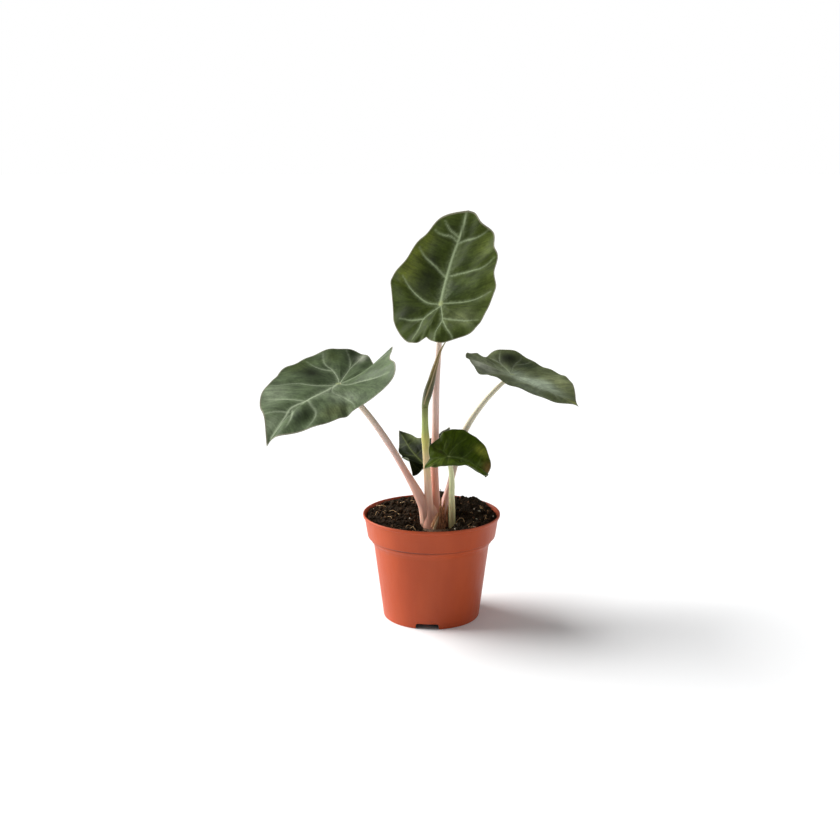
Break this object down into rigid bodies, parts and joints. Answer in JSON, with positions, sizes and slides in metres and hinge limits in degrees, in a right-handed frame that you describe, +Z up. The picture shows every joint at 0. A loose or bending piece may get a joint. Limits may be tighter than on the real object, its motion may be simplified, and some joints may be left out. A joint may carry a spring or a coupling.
{
  "type": "potted live plant",
  "caption": "Young alocasia with heart-shaped silver-veined leaves on upright stalks and a rolled new leaf, growing in a round nursery pot.",
  "frame": {"origin": "on the floor under the middle of the whole plant's box; the pot's axis stands 8.5 mm to +X and 1.5 mm to +Y of it", "axes": "+Z up, -Y the front from which the plant is seen, +X to the right"},
  "size_m": [0.2667, 0.1815, 0.3515],
  "materials": {
    "pot": "satin moulded terracotta-brown plastic",
    "soil": "matt crumbly dark growing mix",
    "rootstock": "rough brown skin",
    "blade": "satin waxy leaf, dark green with silver-grey veins",
    "petiole": "smooth satin, dusky pink to green",
    "new_leaf": "satin olive green",
    "dry": "matt papery brown"
  },
  "bodies": {
    "root": {"pot": "pot", "soil": "soil", "rootstock": "rootstock", "blade_top": "blade", "blade_left": "blade", "blade_right": "blade", "blade_small_front": "blade", "blade_small_rear": "blade", "petiole_top": "petiole", "petiole_left": "petiole", "petiole_right": "petiole", "petiole_small_front": "petiole", "petiole_small_rear": "petiole", "new_leaf_stalk": "petiole", "new_leaf_roll": "new_leaf", "dry_sheath": "dry", "old_scale": "dry"}
  },
  "joints": []
}
